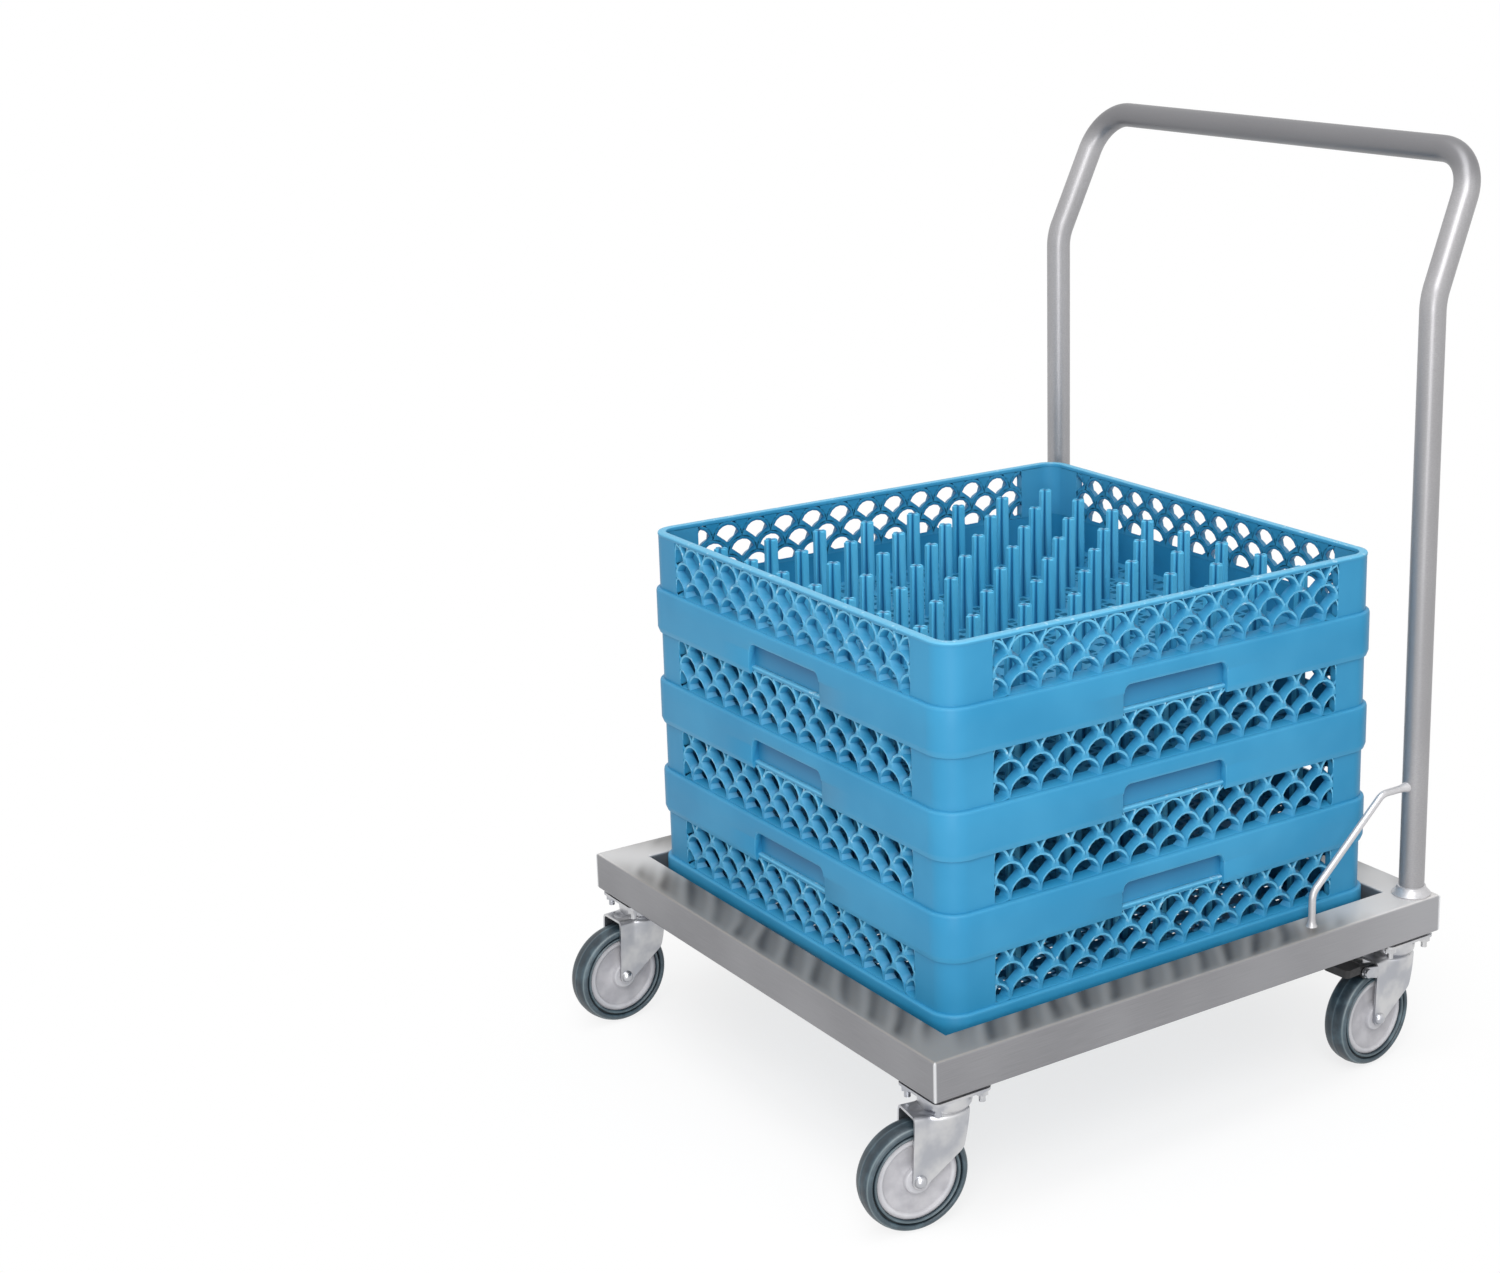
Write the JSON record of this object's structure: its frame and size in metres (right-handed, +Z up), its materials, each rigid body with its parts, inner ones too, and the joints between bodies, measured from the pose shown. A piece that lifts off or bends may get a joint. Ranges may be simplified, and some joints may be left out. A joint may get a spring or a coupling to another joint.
{
  "type": "wash basket trolley",
  "caption": "Stainless trolley on swivel castors: a square frame with a bent push handle and braked rear wheels carries a stack of lattice-walled wash baskets that lift off.",
  "frame": {"origin": "on the floor, below the centre of the square frame", "axes": "+Z up, +Y towards the push handle, +X to the right of someone who looks along +Y"},
  "size_m": [0.6, 0.699, 0.892],
  "materials": {
    "frame_steel": "brushed stainless sheet, ground flush at the welded corners",
    "tube_steel": "satin stainless tube and rod",
    "zinc_steel": "bright zinc plate on pressed steel",
    "bearing_steel": "polished bearing balls",
    "wheel_grey": "light grey moulded plastic",
    "tyre_rubber": "dark blue-grey rubber",
    "pedal_black": "black moulded plastic",
    "basket_blue": "blue moulded polypropylene"
  },
  "bodies": {
    "frame": {"front_rail": "frame_steel", "rear_rail": "frame_steel", "left_rail": "frame_steel", "right_rail": "frame_steel", "front_left_gusset": "frame_steel", "front_right_gusset": "frame_steel", "rear_left_gusset": "frame_steel", "rear_right_gusset": "frame_steel", "push_handle": "tube_steel", "handle_collars": "tube_steel", "left_retaining_rod": "tube_steel", "right_retaining_rod": "tube_steel", "front_left_castor_plate": "zinc_steel", "front_right_castor_plate": "zinc_steel", "rear_left_castor_plate": "zinc_steel", "rear_right_castor_plate": "zinc_steel", "kingpins": "zinc_steel", "swivel_balls": "bearing_steel", "castor_studs": "zinc_steel", "castor_nuts": "zinc_steel"},
    "front_left_castor": {"front_left_fork": "zinc_steel", "front_left_axle_bolt": "zinc_steel", "front_left_axle_nut": "zinc_steel", "front_left_bush": "zinc_steel"},
    "front_left_wheel_set": {"front_left_wheel": "wheel_grey", "front_left_tyre": "tyre_rubber"},
    "front_right_castor": {"front_right_fork": "zinc_steel", "front_right_axle_bolt": "zinc_steel", "front_right_axle_nut": "zinc_steel", "front_right_bush": "zinc_steel"},
    "front_right_wheel_set": {"front_right_wheel": "wheel_grey", "front_right_tyre": "tyre_rubber"},
    "rear_left_castor": {"rear_left_fork": "zinc_steel", "rear_left_axle_bolt": "zinc_steel", "rear_left_axle_nut": "zinc_steel", "rear_left_bush": "zinc_steel", "rear_left_brake_pin": "zinc_steel"},
    "rear_left_wheel_set": {"rear_left_wheel": "wheel_grey", "rear_left_tyre": "tyre_rubber"},
    "rear_left_brake": {"rear_left_brake_pedal": "pedal_black"},
    "rear_right_castor": {"rear_right_fork": "zinc_steel", "rear_right_axle_bolt": "zinc_steel", "rear_right_axle_nut": "zinc_steel", "rear_right_bush": "zinc_steel", "rear_right_brake_pin": "zinc_steel"},
    "rear_right_wheel_set": {"rear_right_wheel": "wheel_grey", "rear_right_tyre": "tyre_rubber"},
    "rear_right_brake": {"rear_right_brake_pedal": "pedal_black"},
    "basket_1": {"basket_1": "basket_blue", "basket_1_lattice": "basket_blue", "basket_1_base": "basket_blue"},
    "basket_2": {"basket_2": "basket_blue", "basket_2_lattice": "basket_blue", "basket_2_base": "basket_blue"},
    "basket_3": {"basket_3": "basket_blue", "basket_3_lattice": "basket_blue", "basket_3_base": "basket_blue"},
    "basket_4": {"basket_4": "basket_blue", "basket_4_lattice": "basket_blue", "basket_4_base": "basket_blue"}
  },
  "joints": [
    {"name": "front_left_swivel", "type": "hinge", "parent": "frame", "child": "front_left_castor", "pos_m": [-0.267, -0.267, 0.118], "axis": [0, 0, 1], "continuous": true},
    {"name": "front_left_roll", "type": "hinge", "parent": "front_left_castor", "child": "front_left_wheel_set", "pos_m": [-0.26532, -0.29896, 0.05], "axis": [0.9986, 0.0523, 0], "continuous": true},
    {"name": "front_right_swivel", "type": "hinge", "parent": "frame", "child": "front_right_castor", "pos_m": [0.267, -0.267, 0.118], "axis": [0, 0, 1], "continuous": true},
    {"name": "front_right_roll", "type": "hinge", "parent": "front_right_castor", "child": "front_right_wheel_set", "pos_m": [0.26199, -0.29861, 0.05], "axis": [0.9877, -0.1564, 0], "continuous": true},
    {"name": "rear_left_swivel", "type": "hinge", "parent": "frame", "child": "rear_left_castor", "pos_m": [-0.267, 0.267, 0.118], "axis": [0, 0, 1], "continuous": true},
    {"name": "rear_left_roll", "type": "hinge", "parent": "rear_left_castor", "child": "rear_left_wheel_set", "pos_m": [-0.26588, 0.23502, 0.05], "axis": [0.9994, 0.0349, 0], "continuous": true},
    {"name": "rear_left_brake_press", "type": "hinge", "parent": "rear_left_castor", "child": "rear_left_brake", "pos_m": [-0.26519, 0.21503, 0.104], "axis": [0.9994, 0.0349, 0], "range_deg": [0, 18]},
    {"name": "rear_right_swivel", "type": "hinge", "parent": "frame", "child": "rear_right_castor", "pos_m": [0.267, 0.267, 0.118], "axis": [0, 0, 1], "continuous": true},
    {"name": "rear_right_roll", "type": "hinge", "parent": "rear_right_castor", "child": "rear_right_wheel_set", "pos_m": [0.26923, 0.23508, 0.05], "axis": [0.9976, 0.0698, 0], "continuous": true},
    {"name": "rear_right_brake_press", "type": "hinge", "parent": "rear_right_castor", "child": "rear_right_brake", "pos_m": [0.27063, 0.21513, 0.104], "axis": [0.9976, 0.0698, 0], "range_deg": [0, 18]},
    {"name": "basket_1_lift", "type": "slide", "parent": "frame", "child": "basket_1", "axis": [0, 0, 1], "range_m": [0, 0.12]},
    {"name": "basket_2_lift", "type": "slide", "parent": "basket_1", "child": "basket_2", "axis": [0, 0, 1], "range_m": [0, 0.12]},
    {"name": "basket_3_lift", "type": "slide", "parent": "basket_2", "child": "basket_3", "axis": [0, 0, 1], "range_m": [0, 0.12]},
    {"name": "basket_4_lift", "type": "slide", "parent": "basket_3", "child": "basket_4", "axis": [0, 0, 1], "range_m": [0, 0.12]}
  ]
}
